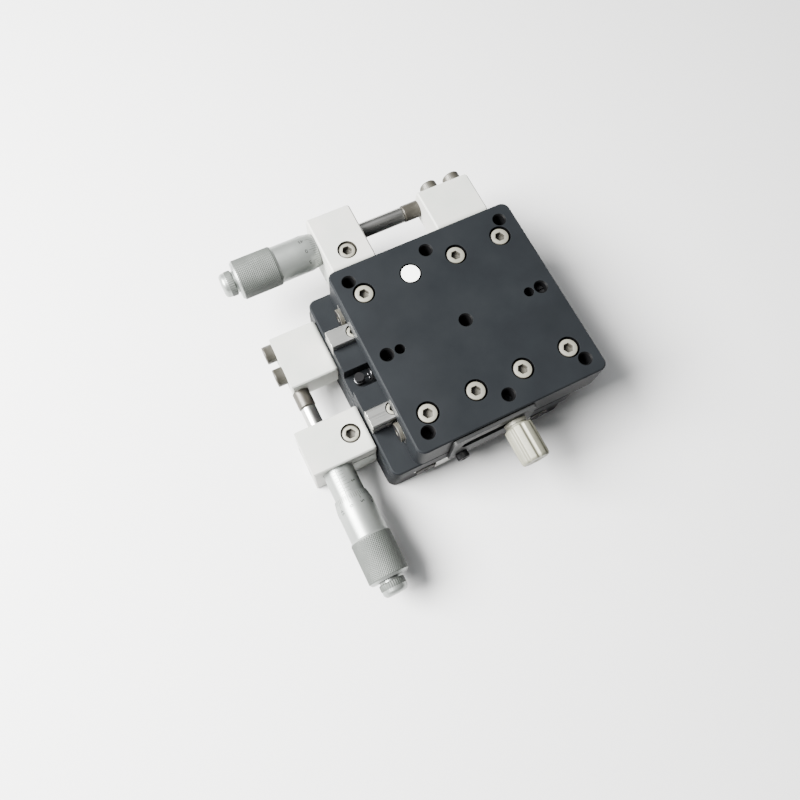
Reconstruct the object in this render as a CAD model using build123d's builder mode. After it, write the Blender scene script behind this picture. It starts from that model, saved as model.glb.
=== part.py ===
from build123d import *
import math
import os

os.makedirs("parts", exist_ok=True)

# Two-axis crossed-roller stage with a 60 mm table, in millimetres.
# Three decks are stacked: a base, a middle slide that runs along Y on it, and a table that
# runs along X on the middle slide. Each axis has two pairs of V-groove rails, a caged row of
# crossed rollers in each pair, a return spring, and a micrometer head on the side.
# The part's origin is the centre of the base's underside, +Z is up.

# ---------------------------------------------------------------- driving dimensions
# decks
DECK_SIDE = 60.0            # length and width of every deck
DECK_CORNER_R = 2.5         # vertical corners of the decks
DECK_EDGE = 0.4             # chamfer round the top and bottom faces
SLIDE_T = 6.0               # thickness of the middle slide's plate
RAIL_LAND = 0.4             # height of the seats that the inner rails stand on
FLANGE_GAP = 0.5            # air between a flange and the slide's plate
FLOOR_RELIEF = 0.4          # depth of the relief over the inner rails
SHELL_T = 5.2               # thickness of the base and table between their flanges
RIDGE_H = 4.0               # height of the ridge between the inner rails
CHANNEL_W = 6.5             # width of the spring channel in the ridge
CHANNEL_DEPTH = 1.0         # depth of the channel below the slide's face

# crossed-roller rails, size 2
RAIL_W = 5.5
RAIL_H = 6.0
RAIL_GAP = 1.0              # between the two rails of a pair
INNER_RAIL_V = 10.5         # from the middle of the stage to the inner rail's back
ROLLER_D = 2.0
ROLLER_L = 1.85
ROLLER_CLEARANCE = 0.03
ROLLER_PITCH = 4.0
ROLLER_COUNT = 10
CAGE_T = 0.5
CAGE_H = 5.0
CAGE_END = 4.5              # cage beyond its last roller's centre
CAGE_WINDOW_GAP = 0.12      # round a roller in its window
RAIL_HOLE_SETBACK = 3.0     # from the grooved face to the screw holes
RAIL_HOLE_PITCH = 15.0
RAIL_HOLES = 4
RAIL_TAP_DEPTH = 2.9        # in the slide
RAIL_SCREW_L = 8.0          # outer rails' screws
INNER_SCREW_L = 6.0

# travel of each axis, and where it stands in the rest pose
TRAVEL = 14.0
X_OFFSET = 7.0              # table from the middle slide, at the end of its travel
Y_OFFSET = -1.0             # middle slide from the base

# screws: shank radius, head radius, head height
M2 = (1.0, 1.9, 2.0)
M3 = (1.5, 2.75, 3.0)
SCREW_SLACK = 0.02          # radial, in a tapped hole
THROUGH_SLACK = 0.2         # radial, in a clearance hole
HEAD_SLACK = 0.5            # radial, in a counterbore of the decks
HEAD_SLACK_TIGHT = 0.2      # radial, in a counterbore of the rails and brackets
HEAD_SINK = 0.4             # from the face down to a sunk head
HEX_M2 = 0.75               # half the width across the flats of the sockets
HEX_M3 = 1.25

# mounting holes
M4_TAPPED_R = 1.7
M4_PITCH = 25.0
M4_DEPTH = 5.2
M4_DEPTH_OVER_LOCK = 4.6
M4_BASE_DEPTH = 6.5
M4_COUNTERSINK = 0.4
DOWEL_R = 1.5
DOWEL_X = 21.0

# drive of each axis; the same parts serve both
DRIVE_DROP = 7.0            # micrometer axis below the moving deck's top face
DRIVE_OUT = 12.8            # micrometer axis from the decks' sides
BLOCK_DROP = 1.0            # tops of the blocks below the moving deck's top face
BRACKET_FACE = 6.6          # from the fixed deck's middle back to the bracket's front
BRACKET_L = 14.0
BRACKET_H = 17.0
BRACKET_OUT = 20.1          # bracket's outer face from the decks' sides
SIDE_GAP = 0.5              # between a block and the deck that it passes
CLAMP_SCREW_OUT = 5.4
CLAMP_SLIT = 0.8
CLAMP_SCREW_L = 9.0
CLAMP_TAP_DEPTH = 7.0       # below the slit's middle
BRACKET_SCREW_PITCH = 8.0
BRACKET_SCREW_DROP = 14.6
BRACKET_SCREW_SINK = 3.2
BRACKET_PAD_DROP = 12.0     # top of the pad that sits on the fixed deck's side
BLOCK_EDGE = 0.4
BLOCK_CORNER_R = 1.6
ANVIL_FACE = 7.0            # from the moving deck's middle to the anvil block's near face
ANVIL_L = 17.3
ANVIL_H = 9.5
ANVIL_OUT = 15.0            # anvil block's outer face from the decks' sides
ANVIL_CONTACT_H = 5.2
ANVIL_SCREWS = (13.0, 21.0)
X_ANVIL_SCREW_DROP = 5.5
Y_ANVIL_SCREW_DROP = 4.0    # higher, to stay within the slide's plate
SIDE_TAP_WALL = 1.0         # left between a tapped hole in a deck's side and the rail behind it
SIDE_TAP_SPARE = 0.5        # hole past the end of the screw in it
PIN_HEAD_R = 2.6
PIN_HEAD_L = 5.4
PIN_SHANK_R = 1.5
PIN_SHANK_L = 4.0

# micrometer head with 0.5 mm pitch; places along it are measured from the moving deck's middle
SPINDLE_TIP = 1.6
SPINDLE_END = -27.0
SPINDLE_R = 2.4
STEM_R = 4.75
STEM_INSET = 0.8            # stem's end inside the bracket's front
STEM_SHOULDER = 0.2         # stem beyond the bracket's rear face
SLEEVE_R = 4.6
SLEEVE_L = 21.7             # from the bracket's rear face
SLEEVE_BEARING_L = 12.1
SLEEVE_BORE_R = 3.4
NUT_L = 8.0
FEED_SCREW_R = 2.8
RUN_FIT = 0.04              # radial clearance of parts that turn or slide in each other
END_FLOAT = 0.05            # axial clearance between turning parts
THIMBLE_MOUTH = -28.0
THIMBLE_MOUTH_R = 4.98
THIMBLE_FIT = 0.1           # radial clearance over the sleeve
THIMBLE_BEVEL_L = 2.8
THIMBLE_R = 5.55
THIMBLE_SMOOTH_L = 12.5
GRIP_R = 6.0
GRIP_L = 13.0
GRIP_EDGE = 0.6
THIMBLE_END_T = 3.0
STUD_R = 1.5
STUD_REACH = 3.4            # stud inside the ratchet cap
RATCHET_R = 3.8
RATCHET_L = 4.5
RATCHET_NECK_R = 3.25
RATCHET_NECK_L = 0.8
RATCHET_EDGE = 0.4

# return springs
SPRING_RISE = 5.5           # spring axis from the middle of the slide's plate
SPRING_R = 1.9
SPRING_WIRE = 0.5
HOOK_R = 1.35
RIDGE_POST_U = 26.6
POST_R = 0.9
POST_HEAD_R = 1.4
POST_HEAD_T = 0.4
POST_PRESS = 2.5
POST_SHANK_R = 1.6
POST_SHANK_L = 2.8
POST_REACH = 1.6            # post beyond the spring's axis
POST_SLOT = 0.6             # screwdriver slot in the anchor, as deep as it is wide
HOOK_NECK = 1.4

# lock on the front of the X axis
LOCK_DROP = 7.0             # lock screw below the table's top face
LOCK_PLATE_L = 26.0
LOCK_PLATE_H = 16.0
LOCK_PLATE_T = 1.0
LOCK_PLATE_DROP = 1.0       # plate's top edge below the table's top face
LOCK_PLATE_R = 1.0
LOCK_PAD_T = 0.2            # pad that holds the plate clear of the table
LOCK_PAD_EDGE = 0.4         # pad inside the slide's plate, above and below
LOCK_PLATE_SCREWS = 18.0    # between the two screws
LOCK_PLATE_SCREW_L = 5.0
LOCK_SLOT_L = 20.0
LOCK_SLOT_W = 4.8
LOCK_SCREW_R = 2.0
LOCK_SCREW_DEPTH = 4.5
LOCK_HOLE_SPARE = 0.5       # hole past the screw's end, so that the knob can be tightened
LOCK_SCREW_IN_KNOB = 7.0
LOCK_WASHER_R = 3.4
LOCK_WASHER_T = 1.0
LOCK_SLACK = 0.1            # between the washer and the plate with the lock slackened
KNOB_R = 4.25
KNOB_L = 10.7
KNOB_NECK_R = 3.0
KNOB_NECK_L = 0.7
KNOB_FLUTES = 8
KNOB_FLUTE_R = 1.4
KNOB_FLUTE_DEPTH = 0.5
KNOB_EDGE = 0.4

# small fittings
STOP_SCREW_R = 1.0
STOP_HEAD_R = 2.9
STOP_HEAD_T = 1.2
STOP_SCREW_WALL = 2.0       # between a stop screw's tip and the last rail screw
STOP_V = 19.4
PRELOAD_SUNK = 1.5          # set screws below the face of the deck's side
CAP_T = 0.35                # white cap on one of the table's screws
RAIL_EDGE = 0.3
ROOT_W = 0.4                # relief at the root of the V grooves
ROOT_DEPTH = 0.3

# ---------------------------------------------------------------- derived sizes
HALF = DECK_SIDE / 2
PLATE_W = SLIDE_T / 2                          # the slide's face from its mid-plane
SEAT_W = PLATE_W + RAIL_LAND                   # foot of the rails
SHELL_SEAT_W = SEAT_W + RAIL_H                 # where the outer rails seat
CEILING_W = SHELL_SEAT_W + FLOOR_RELIEF
OUTSIDE_W = CEILING_W + SHELL_T                # outer face of the base or the table
FLANGE_W = PLATE_W + FLANGE_GAP
GROOVE_W = SEAT_W + RAIL_H / 2                 # height of the V grooves
HEIGHT = 2 * OUTSIDE_W
INNER_FACE_V = INNER_RAIL_V + RAIL_W
OUTER_FACE_V = INNER_FACE_V + RAIL_GAP
OUTER_BACK_V = OUTER_FACE_V + RAIL_W
PRELOAD_L = HALF - OUTER_BACK_V - PRELOAD_SUNK
SIDE_TAP_DEPTH = HALF - OUTER_BACK_V - SIDE_TAP_WALL
SIDE_GRIP = SIDE_TAP_DEPTH - SIDE_TAP_SPARE    # length of a screw inside the deck that it enters
GAP_V = INNER_FACE_V + RAIL_GAP / 2
GROOVE_DEPTH = ROLLER_D / math.sqrt(2) - RAIL_GAP / 2
INNER_HOLE_V = INNER_FACE_V - RAIL_HOLE_SETBACK
OUTER_HOLE_V = OUTER_FACE_V + RAIL_HOLE_SETBACK
RAIL_HOLE_SPAN = RAIL_HOLE_PITCH * (RAIL_HOLES - 1)
DRIVE_V = HALF + DRIVE_OUT                     # the drive's parts, from the middle of the stage
BRACKET_V = HALF + BRACKET_OUT
CLAMP_SCREW_V = HALF + CLAMP_SCREW_OUT
ANVIL_V = HALF + ANVIL_OUT
STOP_SCREW_L = HALF - RAIL_HOLE_SPAN / 2 - M3[0] - STOP_SCREW_WALL
SHELL_POST_U = M4_PITCH                        # the springs' anchors stand in M4 holes
CAGE_L = ROLLER_PITCH * (ROLLER_COUNT - 1) + 2 * CAGE_END
THIMBLE_END = THIMBLE_MOUTH - THIMBLE_SMOOTH_L - GRIP_L
THIMBLE_WALL = THIMBLE_END + THIMBLE_END_T
LOCK_FOOT_Y = LOCK_DROP - OUTSIDE_W            # the slide's mid-plane, seen from the lock's axis

# Each axis has two frames. In the way frame, u runs along the travel, v across it and w from
# the slide's mid-plane towards the table or the base. In the drive frame, u runs along the
# travel, v out to the micrometer, and w is up from the top of the deck that the axis moves.
SLIDE_CENTRE = Vector(0, Y_OFFSET, OUTSIDE_W)
TABLE_CENTRE = SLIDE_CENTRE + Vector(X_OFFSET, 0, 0)
BASE_CENTRE = Vector(0, 0, OUTSIDE_W)
X_DIR = Vector(1, 0, 0)
Y_DIR = Vector(0, 1, 0)
UP = Vector(0, 0, 1)


def frame(centre, along, out, rise=0.0):
    """A frame at a point above a deck's centre, with u along one axis and w along another."""
    return Plane(origin=centre + UP * rise, x_dir=along, z_dir=out)


def facing_w(of, u=0.0, v=0.0, w=0.0):
    """A sketch plane that faces along w."""
    return Plane(origin=of.from_local_coords(Vector(u, v, w)), x_dir=of.x_dir, z_dir=of.z_dir)


def facing_u(of, u=0.0, v=0.0, w=0.0):
    """A sketch plane that faces along u, with v to the right and w up."""
    return Plane(origin=of.from_local_coords(Vector(u, v, w)), x_dir=of.y_dir, z_dir=of.x_dir)


def facing_v(of, u=0.0, v=0.0, w=0.0):
    """A sketch plane that faces along v, with w up."""
    return Plane(origin=of.from_local_coords(Vector(u, v, w)), x_dir=-of.x_dir, z_dir=of.y_dir)


def keep(part, name):
    part.label = name
    export_step(part, f"parts/{name}.step")


x_slide_way = frame(SLIDE_CENTRE, X_DIR, UP)
x_table_way = frame(TABLE_CENTRE, X_DIR, UP)
x_cage_way = frame(SLIDE_CENTRE + X_DIR * (X_OFFSET / 2), X_DIR, UP)
y_slide_way = frame(SLIDE_CENTRE, Y_DIR, -UP)
y_base_way = frame(BASE_CENTRE, Y_DIR, -UP)
y_cage_way = frame(BASE_CENTRE + Y_DIR * (Y_OFFSET / 2), Y_DIR, -UP)
x_fixed = frame(SLIDE_CENTRE, X_DIR, UP, OUTSIDE_W)
x_moving = frame(TABLE_CENTRE, X_DIR, UP, OUTSIDE_W)
y_fixed = frame(BASE_CENTRE, Y_DIR, UP, PLATE_W)
y_moving = frame(SLIDE_CENTRE, Y_DIR, UP, PLATE_W)
lock_on_slide = Plane(SLIDE_CENTRE + Vector(0, -HALF, OUTSIDE_W - LOCK_DROP), x_dir=X_DIR, z_dir=-Y_DIR)
lock_on_table = Plane(TABLE_CENTRE + Vector(0, -HALF, OUTSIDE_W - LOCK_DROP), x_dir=X_DIR, z_dir=-Y_DIR)


# ---------------------------------------------------------------- screws
def hole_rows(of, v, w):
    """One plane for each screw hole of a pair of rails, facing along w."""
    first = -RAIL_HOLE_SPAN / 2
    return [
        facing_w(of, first + i * RAIL_HOLE_PITCH, side * v, w)
        for side in (-1, 1)
        for i in range(RAIL_HOLES)
    ]


def cap_screws(planes, size, length, half_hex):
    """Socket cap screws with their heads seated on the given planes."""
    shank_r, head_r, head_h = size
    with BuildPart() as screws:
        for seat in planes:
            with BuildSketch(seat.offset(-length)):
                Circle(shank_r - SCREW_SLACK)
            extrude(amount=length)
            with BuildSketch(seat):
                Circle(head_r)
            extrude(amount=head_h)
            with BuildSketch(seat.offset(head_h / 2)):
                RegularPolygon(half_hex, 6, major_radius=False)
            extrude(amount=head_h / 2, mode=Mode.SUBTRACT)
    return screws.part


# ---------------------------------------------------------------- base and table
def shell(way):
    """The channel-shaped block that both the base and the table are milled from."""
    with BuildPart() as block:
        with BuildSketch(facing_w(way, w=FLANGE_W)):
            RectangleRounded(DECK_SIDE, DECK_SIDE, DECK_CORNER_R)
        extrude(amount=OUTSIDE_W - FLANGE_W)
        outer_face = block.faces().sort_by(Axis(way.origin, way.z_dir))[-1]
        chamfer(outer_face.edges(), length=DECK_EDGE)
        with BuildSketch(facing_w(way, w=FLANGE_W)):
            Rectangle(DECK_SIDE, 2 * OUTER_BACK_V)
        extrude(amount=SHELL_SEAT_W - FLANGE_W, mode=Mode.SUBTRACT)
        with BuildSketch(facing_w(way, w=SHELL_SEAT_W)):
            Rectangle(DECK_SIDE, 2 * OUTER_FACE_V)
        extrude(amount=FLOOR_RELIEF, mode=Mode.SUBTRACT)
        for mouth in hole_rows(way, OUTER_HOLE_V, OUTSIDE_W):
            with Locations(mouth):
                CounterBoreHole(
                    radius=M3[0] + THROUGH_SLACK,
                    counter_bore_radius=M3[1] + HEAD_SLACK,
                    counter_bore_depth=M3[2] + HEAD_SINK,
                    depth=OUTSIDE_W - SHELL_SEAT_W,
                )
    return block.part


def tapped(of_block, mouths, radius, depth):
    """The block with blind tapped holes drilled into the given planes."""
    with BuildPart() as drilled:
        add(of_block)
        for mouth in mouths:
            with BuildSketch(mouth.offset(-depth)):
                Circle(radius)
            extrude(amount=depth, mode=Mode.SUBTRACT)
    return drilled.part


def mount_holes(of_block, mouths, depth):
    """The block with countersunk M4 tapped holes drilled into the given planes."""
    with BuildPart() as drilled:
        add(of_block)
        for mouth in mouths:
            with Locations(mouth):
                Hole(radius=M4_TAPPED_R, depth=depth)
            with BuildSketch(mouth):
                Circle(M4_TAPPED_R + M4_COUNTERSINK)
            extrude(amount=-M4_COUNTERSINK, taper=45, mode=Mode.SUBTRACT)
    return drilled.part


def preload_mouths(way):
    """Where the set screws that press on one outer rail enter the flange."""
    first = -RAIL_HOLE_SPAN / 2
    return [facing_v(way, first + i * RAIL_HOLE_PITCH, HALF, GROOVE_W) for i in range(RAIL_HOLES)]


def bracket_mouths(drive):
    """Where a bracket's two screws enter the fixed deck's side."""
    middle = -BRACKET_FACE - BRACKET_L / 2
    return [
        facing_v(drive, middle + side * BRACKET_SCREW_PITCH / 2, HALF, -BRACKET_SCREW_DROP)
        for side in (-1, 1)
    ]


def anvil_mouths(drive, drop):
    """Where an anvil block's two screws enter the moving deck's side."""
    return [facing_v(drive, u, HALF, -drop) for u in ANVIL_SCREWS]


def set_screws(mouths):
    """Set screws that reach from inside the flange's face to the rail."""
    with BuildPart() as screws:
        for mouth in mouths:
            with BuildSketch(mouth.offset(-PRELOAD_SUNK - PRELOAD_L)):
                Circle(M3[0] - SCREW_SLACK)
            extrude(amount=PRELOAD_L)
            with BuildSketch(mouth.offset(-PRELOAD_SUNK - M3[0])):
                RegularPolygon(HEX_M2, 6, major_radius=False)
            extrude(amount=M3[0], mode=Mode.SUBTRACT)
    return screws.part


def stop_screws(way):
    """Screws in the ends of the outer rails, whose heads keep the cages between the rails."""
    with BuildPart() as screws:
        for side in (-1, 1):
            for v in (-STOP_V, STOP_V):
                seat = facing_u(way, side * HALF, v, GROOVE_W)
                with BuildSketch(seat):
                    Circle(STOP_SCREW_R - SCREW_SLACK)
                extrude(amount=-side * (STOP_SCREW_L - SCREW_SLACK))
                with BuildSketch(seat):
                    Circle(STOP_HEAD_R)
                extrude(amount=side * STOP_HEAD_T)
                with BuildSketch(seat.offset(side * STOP_HEAD_T)):
                    RegularPolygon(HEX_M2, 6, major_radius=False)
                extrude(amount=-side * STOP_HEAD_T / 2, mode=Mode.SUBTRACT)
    return screws.part


base_block = shell(y_base_way)
base_block = tapped(base_block, preload_mouths(y_base_way), M3[0], HALF - OUTER_BACK_V)
base_block = tapped(base_block, bracket_mouths(y_fixed), M3[0], SIDE_TAP_DEPTH)
base_corners = [
    facing_w(y_base_way, u, v, OUTSIDE_W)
    for u in (-M4_PITCH, M4_PITCH)
    for v in (-M4_PITCH, M4_PITCH)
]
base_block = mount_holes(base_block, base_corners, M4_BASE_DEPTH)
base_block = mount_holes(base_block, [facing_w(y_base_way, -SHELL_POST_U, 0, OUTSIDE_W)], SHELL_T)
keep(base_block, "base")

table_block = shell(x_table_way)
table_block = tapped(table_block, preload_mouths(x_table_way), M3[0], HALF - OUTER_BACK_V)
table_block = tapped(table_block, anvil_mouths(x_moving, X_ANVIL_SCREW_DROP), M3[0], SIDE_TAP_DEPTH)
lock_hole_depth = LOCK_SCREW_DEPTH + LOCK_HOLE_SPARE
table_block = tapped(table_block, [lock_on_table], LOCK_SCREW_R + RUN_FIT, lock_hole_depth)
over_lock = facing_w(x_table_way, 0, -M4_PITCH, OUTSIDE_W)
table_grid = [
    facing_w(x_table_way, u, v, OUTSIDE_W)
    for u in (-M4_PITCH, 0, M4_PITCH)
    for v in (-M4_PITCH, 0, M4_PITCH)
    if (u, v) != (0, -M4_PITCH)
]
table_block = mount_holes(table_block, table_grid, M4_DEPTH)
table_block = mount_holes(table_block, [over_lock], M4_DEPTH_OVER_LOCK)
dowel_mouths = [facing_w(x_table_way, u, 0, OUTSIDE_W) for u in (-DOWEL_X, DOWEL_X)]
table_block = tapped(table_block, dowel_mouths, DOWEL_R, SHELL_T)
keep(table_block, "table")

head_seat_w = OUTSIDE_W - HEAD_SINK - M3[2]
table_screw_seats = hole_rows(x_table_way, OUTER_HOLE_V, head_seat_w)
base_screw_seats = hole_rows(y_base_way, OUTER_HOLE_V, head_seat_w)
keep(cap_screws(table_screw_seats, M3, RAIL_SCREW_L, HEX_M3), "table_rail_screws")
keep(cap_screws(base_screw_seats, M3, RAIL_SCREW_L, HEX_M3), "base_rail_screws")
keep(set_screws(preload_mouths(x_table_way)), "table_preload_screws")
keep(set_screws(preload_mouths(y_base_way)), "base_preload_screws")
keep(stop_screws(x_table_way), "table_stop_screws")
keep(stop_screws(y_base_way), "base_stop_screws")

with BuildPart() as screw_cap:
    with BuildSketch(facing_w(x_table_way, -RAIL_HOLE_PITCH / 2, OUTER_HOLE_V, OUTSIDE_W - HEAD_SINK)):
        Circle(M3[1])
    extrude(amount=CAP_T)
keep(screw_cap.part, "screw_cap")


# ---------------------------------------------------------------- middle slide
def rail_tops(way):
    """Where the inner rails' screws enter the slide."""
    return hole_rows(way, INNER_HOLE_V, SEAT_W)


def lock_plate_mouths():
    """Where the lock plate's two screws enter the slide's front face."""
    spots = [Vector(side * LOCK_PLATE_SCREWS / 2, LOCK_FOOT_Y, LOCK_PAD_T) for side in (-1, 1)]
    return [Plane(lock_on_slide.from_local_coords(p), x_dir=X_DIR, z_dir=-Y_DIR) for p in spots]


with BuildPart() as slide:
    with BuildSketch(facing_w(x_slide_way, w=-PLATE_W)):
        RectangleRounded(DECK_SIDE, DECK_SIDE, DECK_CORNER_R)
    extrude(amount=SLIDE_T)
    chamfer(slide.faces().filter_by(Axis.Z).edges(), length=DECK_EDGE)
    for way in (x_slide_way, y_slide_way):
        with BuildSketch(facing_w(way, w=PLATE_W)):
            Rectangle(DECK_SIDE, 2 * INNER_FACE_V)
        extrude(amount=RAIL_LAND)
        with BuildSketch(facing_w(way, w=PLATE_W)):
            Rectangle(DECK_SIDE, 2 * INNER_RAIL_V)
        extrude(amount=RIDGE_H)
    with BuildSketch(lock_on_slide):
        with Locations((0, LOCK_FOOT_Y)):
            Rectangle(LOCK_PLATE_L, SLIDE_T - 2 * LOCK_PAD_EDGE - 2 * DECK_EDGE)
    extrude(amount=LOCK_PAD_T)
    for way in (x_slide_way, y_slide_way):
        with BuildSketch(facing_w(way, w=PLATE_W - CHANNEL_DEPTH)):
            Rectangle(DECK_SIDE, CHANNEL_W)
        extrude(amount=CHANNEL_DEPTH + RIDGE_H, mode=Mode.SUBTRACT)
        for mouth in rail_tops(way):
            with BuildSketch(mouth.offset(-RAIL_TAP_DEPTH)):
                Circle(M2[0])
            extrude(amount=RAIL_TAP_DEPTH, mode=Mode.SUBTRACT)
    for way, u in ((x_slide_way, -RIDGE_POST_U), (y_slide_way, RIDGE_POST_U)):
        with BuildSketch(facing_w(way, u, 0, PLATE_W - CHANNEL_DEPTH)):
            Circle(POST_R + SCREW_SLACK)
        extrude(amount=-POST_PRESS, mode=Mode.SUBTRACT)
slide_block = tapped(slide.part, bracket_mouths(x_fixed), M3[0], SIDE_TAP_DEPTH)
slide_block = tapped(slide_block, anvil_mouths(y_moving, Y_ANVIL_SCREW_DROP), M3[0], SIDE_TAP_DEPTH)
slide_block = tapped(slide_block, lock_plate_mouths(), M2[0], LOCK_PLATE_SCREW_L)
keep(slide_block, "middle_slide")


# ---------------------------------------------------------------- rails
def rail_bar(way, side, back_v, face_v):
    """One V-groove rail, from its back to the face with the groove."""
    inward = side if back_v > face_v else -side
    back = side * back_v
    face = side * face_v
    slope = GROOVE_DEPTH - ROOT_W / 2
    profile = [
        (back, SEAT_W + RAIL_EDGE),
        (back - inward * RAIL_EDGE, SEAT_W),
        (face + inward * RAIL_EDGE, SEAT_W),
        (face, SEAT_W + RAIL_EDGE),
        (face, GROOVE_W - GROOVE_DEPTH),
        (face + inward * slope, GROOVE_W - ROOT_W / 2),
        (face + inward * (GROOVE_DEPTH + ROOT_DEPTH), GROOVE_W - ROOT_W / 2),
        (face + inward * (GROOVE_DEPTH + ROOT_DEPTH), GROOVE_W + ROOT_W / 2),
        (face + inward * slope, GROOVE_W + ROOT_W / 2),
        (face, GROOVE_W + GROOVE_DEPTH),
        (face, SHELL_SEAT_W - RAIL_EDGE),
        (face + inward * RAIL_EDGE, SHELL_SEAT_W),
        (back - inward * RAIL_EDGE, SHELL_SEAT_W),
        (back, SHELL_SEAT_W - RAIL_EDGE),
    ]
    with BuildPart() as bar:
        with BuildSketch(facing_u(way, -HALF)):
            with BuildLine():
                Polyline(*profile, close=True)
            make_face()
        extrude(amount=DECK_SIDE)
    return bar.part


def inner_rail(way, side):
    """A rail on the slide, with counterbored holes for its screws."""
    seats = hole_rows(way, INNER_HOLE_V, SHELL_SEAT_W)
    seats = [p for p in seats if way.to_local_coords(p.origin).Y * side > 0]
    with BuildPart() as rail:
        add(rail_bar(way, side, INNER_RAIL_V, INNER_FACE_V))
        for seat in seats:
            with Locations(seat):
                CounterBoreHole(
                    radius=M2[0] + THROUGH_SLACK,
                    counter_bore_radius=M2[1] + HEAD_SLACK_TIGHT,
                    counter_bore_depth=M2[2] + HEAD_SINK,
                    depth=RAIL_H,
                )
    return rail.part


def outer_rail(way, side):
    """A rail in the base or the table, tapped from its back and in its two ends."""
    seats = hole_rows(way, OUTER_HOLE_V, SHELL_SEAT_W)
    seats = [p for p in seats if way.to_local_coords(p.origin).Y * side > 0]
    with BuildPart() as rail:
        add(rail_bar(way, side, OUTER_BACK_V, OUTER_FACE_V))
        for seat in seats:
            with Locations(seat):
                Hole(radius=M3[0], depth=RAIL_H)
        for end in (-1, 1):
            with BuildSketch(facing_u(way, end * HALF, side * STOP_V, GROOVE_W)):
                Circle(STOP_SCREW_R)
            extrude(amount=-end * STOP_SCREW_L, mode=Mode.SUBTRACT)
    return rail.part


inner_seat_w = SHELL_SEAT_W - HEAD_SINK - M2[2]
# Across the Y axis v is +X, so its negative side is the left; across the X axis it is the front.
keep(outer_rail(y_base_way, -1), "base_rail_left")
keep(outer_rail(y_base_way, 1), "base_rail_right")
keep(inner_rail(y_slide_way, -1), "lower_rail_left")
keep(inner_rail(y_slide_way, 1), "lower_rail_right")
keep(inner_rail(x_slide_way, -1), "upper_rail_front")
keep(inner_rail(x_slide_way, 1), "upper_rail_back")
keep(outer_rail(x_table_way, -1), "table_rail_front")
keep(outer_rail(x_table_way, 1), "table_rail_back")
lower_seats = hole_rows(y_slide_way, INNER_HOLE_V, inner_seat_w)
upper_seats = hole_rows(x_slide_way, INNER_HOLE_V, inner_seat_w)
keep(cap_screws(lower_seats, M2, INNER_SCREW_L, HEX_M2), "lower_rail_screws")
keep(cap_screws(upper_seats, M2, INNER_SCREW_L, HEX_M2), "upper_rail_screws")


# ---------------------------------------------------------------- roller cages
def roller_u():
    """Where the rollers sit along a cage, from its middle."""
    return [(i - (ROLLER_COUNT - 1) / 2) * ROLLER_PITCH for i in range(ROLLER_COUNT)]


def cage_strip(way, side):
    """The thin strip between a pair of rails, with a window for each roller."""
    diagonal = (ROLLER_D + ROLLER_L) / (2 * math.sqrt(2)) + CAGE_WINDOW_GAP
    with BuildPart() as cage:
        with BuildSketch(facing_v(way, 0, side * GAP_V - CAGE_T / 2, GROOVE_W)):
            Rectangle(CAGE_L, CAGE_H)
        extrude(amount=CAGE_T)
        for u in roller_u():
            with BuildSketch(facing_v(way, u, side * GAP_V - CAGE_T / 2, GROOVE_W)):
                Rectangle(ROLLER_D + 2 * CAGE_WINDOW_GAP, 2 * diagonal)
            extrude(amount=CAGE_T, mode=Mode.SUBTRACT)
    return cage.part


def crossed_rollers(way):
    """Both rows of an axis; each roller is turned a right angle from the one before it."""
    with BuildPart() as rollers:
        for side in (-1, 1):
            for i, u in enumerate(roller_u()):
                tilt = way.y_dir * (1 if i % 2 else -1) + way.z_dir
                middle = way.from_local_coords(Vector(u, side * GAP_V, GROOVE_W))
                end = Plane(middle - tilt.normalized() * (ROLLER_L / 2), x_dir=way.x_dir, z_dir=tilt)
                with BuildSketch(end):
                    Circle(ROLLER_D / 2 - ROLLER_CLEARANCE)
                extrude(amount=ROLLER_L)
    return rollers.part


keep(cage_strip(x_cage_way, -1), "x_cage_front")
keep(cage_strip(x_cage_way, 1), "x_cage_back")
keep(cage_strip(y_cage_way, -1), "y_cage_left")
keep(cage_strip(y_cage_way, 1), "y_cage_right")
keep(crossed_rollers(x_cage_way), "x_rollers")
keep(crossed_rollers(y_cage_way), "y_rollers")


# ---------------------------------------------------------------- drive blocks
def turning(drive):
    """A plane through a micrometer's axis, with u along the axis and the radius outwards."""
    return Plane(
        drive.from_local_coords(Vector(0, DRIVE_V, -DRIVE_DROP)), x_dir=drive.x_dir, z_dir=drive.z_dir
    )


def turned(drive, profile):
    """A part turned about a micrometer's axis from a profile of lengths and radii."""
    plane = turning(drive)
    with BuildPart() as work:
        with BuildSketch(plane):
            with BuildLine():
                Polyline(*profile, close=True)
            make_face()
        revolve(axis=Axis(plane.origin, plane.x_dir))
    return work.part


def block_blank(drive, first, length, out, height, contact):
    """A block on a deck's side, relieved away from the contact band.

    The contact band is a pair of heights, and the outer two corners are rounded.
    """
    top = -BLOCK_DROP
    with BuildPart() as blank:
        with BuildSketch(facing_u(drive, first)) as section:
            with Locations(((HALF + out) / 2, top - height / 2)):
                Rectangle(out - HALF, height)
            fillet(section.vertices().group_by(Axis(drive.origin, drive.y_dir))[-1], BLOCK_CORNER_R)
        extrude(amount=length)
        ends = blank.faces().filter_by(Axis(drive.origin, drive.x_dir))
        chamfer(ends.edges(), length=BLOCK_EDGE)
        for low, high in ((top - height, contact[0]), (contact[1], top)):
            if high > low:
                with BuildSketch(facing_u(drive, first)):
                    with Locations((HALF + SIDE_GAP / 2, (low + high) / 2)):
                        Rectangle(SIDE_GAP, high - low)
                extrude(amount=length, mode=Mode.SUBTRACT)
    return blank.part


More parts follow.
